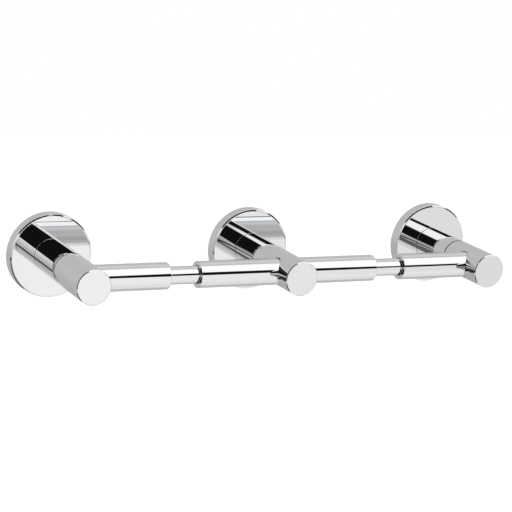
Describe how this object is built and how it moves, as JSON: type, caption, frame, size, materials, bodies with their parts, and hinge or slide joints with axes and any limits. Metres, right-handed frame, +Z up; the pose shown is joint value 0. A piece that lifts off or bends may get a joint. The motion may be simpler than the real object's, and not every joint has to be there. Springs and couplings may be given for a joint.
{
  "type": "double toilet roll holder",
  "caption": "Wall-mounted double toilet roll holder with round flanged posts in a row and sprung telescopic rollers between them, in polished chrome.",
  "frame": {"origin": "centre of the middle post's bracket, on the wall plane", "axes": "+X along the row to the right as seen from the room, -Y out of the wall, +Z up"},
  "size_m": [0.3324, 0.0842, 0.054],
  "materials": {
    "chrome": "polished chrome plate",
    "zinc": "zinc plated, satin",
    "steel": "plain steel, satin",
    "black_nylon": "moulded, matt",
    "grey_nylon": "moulded, matt"
  },
  "bodies": {
    "wall_posts": {"left_wall_bracket": "zinc", "left_flange": "chrome", "left_post": "chrome", "left_post_screw": "steel", "left_set_screw": "steel", "left_locating_pin": "steel", "middle_wall_bracket": "zinc", "middle_flange": "chrome", "middle_post": "chrome", "middle_post_screw": "steel", "middle_set_screw": "steel", "middle_locating_pin": "steel", "right_wall_bracket": "zinc", "right_flange": "chrome", "right_post": "chrome", "right_post_screw": "steel", "right_set_screw": "steel", "right_locating_pin": "steel"},
    "left_roller_plain_half": {"left_roller_plain_sleeve": "chrome", "left_roller_slide_tube": "chrome", "left_roller_anchor_bush": "grey_nylon", "left_roller_stop_bush": "black_nylon", "left_roller_plain_end_plug": "grey_nylon"},
    "left_roller_spring_half": {"left_roller_spring_sleeve": "chrome", "left_roller_guide_bush": "black_nylon", "left_roller_spring_end_plug": "grey_nylon", "left_roller_spring": "steel"},
    "right_roller_plain_half": {"right_roller_plain_sleeve": "chrome", "right_roller_slide_tube": "chrome", "right_roller_anchor_bush": "grey_nylon", "right_roller_stop_bush": "black_nylon", "right_roller_plain_end_plug": "grey_nylon"},
    "right_roller_spring_half": {"right_roller_spring_sleeve": "chrome", "right_roller_guide_bush": "black_nylon", "right_roller_spring_end_plug": "grey_nylon", "right_roller_spring": "steel"}
  },
  "joints": [
    {"name": "left_roller_spin", "type": "hinge", "parent": "wall_posts", "child": "left_roller_plain_half", "pos_m": [-0.0696, -0.0638, 0], "axis": [1, 0, 0], "continuous": true},
    {"name": "left_roller_press", "type": "slide", "parent": "left_roller_plain_half", "child": "left_roller_spring_half", "axis": [-1, 0, 0], "range_m": [0, 0.018], "stiffness_N_per_m": 300, "springref_m": -0.012, "deforming": ["left_roller_spring"]},
    {"name": "right_roller_spin", "type": "hinge", "parent": "wall_posts", "child": "right_roller_plain_half", "pos_m": [0.0696, -0.0638, 0], "axis": [1, 0, 0], "continuous": true},
    {"name": "right_roller_press", "type": "slide", "parent": "right_roller_plain_half", "child": "right_roller_spring_half", "axis": [-1, 0, 0], "range_m": [0, 0.018], "stiffness_N_per_m": 300, "springref_m": -0.012, "deforming": ["right_roller_spring"]}
  ]
}
